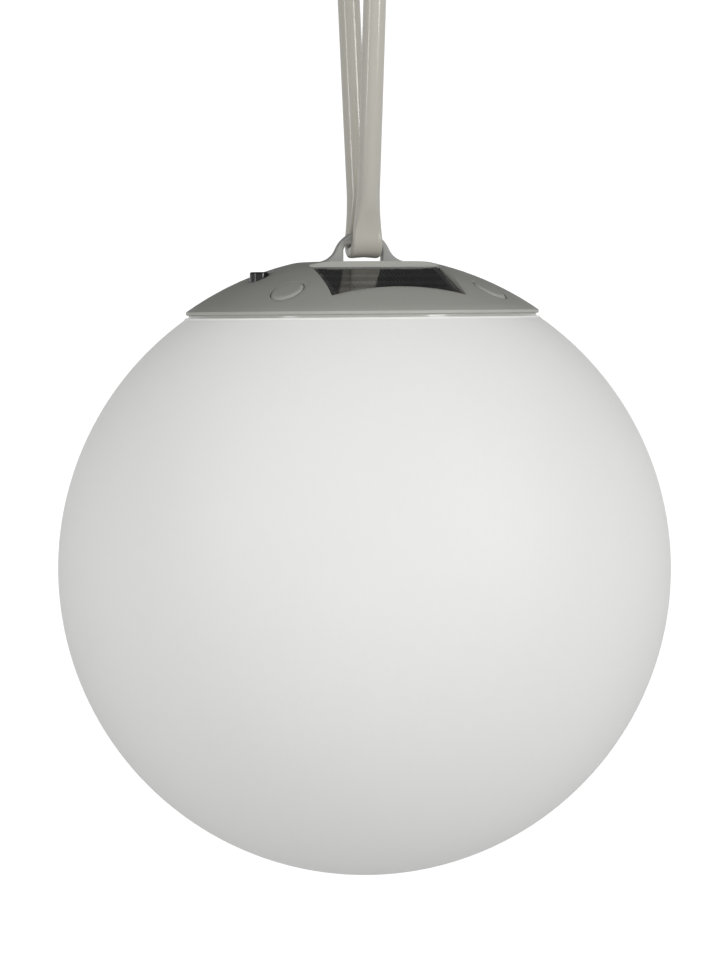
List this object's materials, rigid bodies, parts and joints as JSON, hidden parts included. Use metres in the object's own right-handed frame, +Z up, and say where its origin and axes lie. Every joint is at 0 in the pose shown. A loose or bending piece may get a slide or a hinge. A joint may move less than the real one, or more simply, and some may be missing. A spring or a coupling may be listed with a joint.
{
  "type": "garden globe light",
  "caption": "Hanging solar globe light with a grey domed cap, tilted solar panel, push button, eye and soft strap.",
  "frame": {"origin": "hanging point inside the top of the strap's loop, where a hook bears", "axes": "+Z up along the lamp's axis, -Y the front with the solar window, +X to the right seen from the front"},
  "size_m": [0.3, 0.3, 0.5101],
  "materials": {
    "strap_rubber": "putty grey soft tube, satin",
    "opal_plastic": "opal white, matt",
    "grey_plastic": "warm mid grey, satin",
    "tray_plastic": "light grey, satin",
    "plug_rubber": "grey rubber, satin",
    "button_rubber": "black rubber, satin",
    "seal_rubber": "black, matt",
    "screw_steel": "zinc plated",
    "can_aluminium": "sleeved can",
    "tab_tin": "tinned strip",
    "panel_glaze": "clear dark glaze, glossy",
    "cell_silicon": "near black, satin",
    "board_laminate": "dark board",
    "switch_plastic": "black, matt",
    "led_resin": "phosphor yellow",
    "clear_plastic": "clear to frosted",
    "wire_jacket": "soft jacket"
  },
  "bodies": {
    "hanger": {"hanging_tube": "strap_rubber", "tube_joiner": "clear_plastic"},
    "lamp": {"globe_shell": "opal_plastic", "cap_dome": "grey_plastic", "hanging_eye": "grey_plastic", "eye_screws": "screw_steel", "base_tray": "tray_plastic", "globe_seal": "seal_rubber", "dome_seal": "seal_rubber", "clamp_halves": "tray_plastic", "cap_screws": "screw_steel", "screw_plugs": "plug_rubber", "panel_board": "board_laminate", "solar_cells": "cell_silicon", "cell_tabs": "tab_tin", "panel_cover": "panel_glaze", "panel_seal": "seal_rubber", "push_switch": "switch_plastic", "control_board": "board_laminate", "driver_chip": "switch_plastic", "inductor": "switch_plastic", "capacitors": "can_aluminium", "board_screws": "screw_steel", "battery_holder": "switch_plastic", "battery_contacts": "tab_tin", "battery_cell": "can_aluminium", "holder_screws": "screw_steel", "led_board": "board_laminate", "leds": "led_resin", "led_cover": "clear_plastic", "led_screws": "screw_steel", "panel_leads": "wire_jacket", "battery_leads": "wire_jacket", "led_leads": "wire_jacket"},
    "button": {"mode_button": "button_rubber", "button_seal": "seal_rubber", "switch_plunger": "switch_plastic"}
  },
  "joints": [
    {"name": "lamp_swing", "type": "hinge", "parent": "hanger", "child": "lamp", "pos_m": [0, 0, -0.1875], "axis": [1, 0, 0], "range_deg": [-60, 60]},
    {"name": "button_press", "type": "slide", "parent": "lamp", "child": "button", "axis": [0, 0, -1], "range_m": [0, 0.0015], "stiffness_N_per_m": 1200}
  ]
}
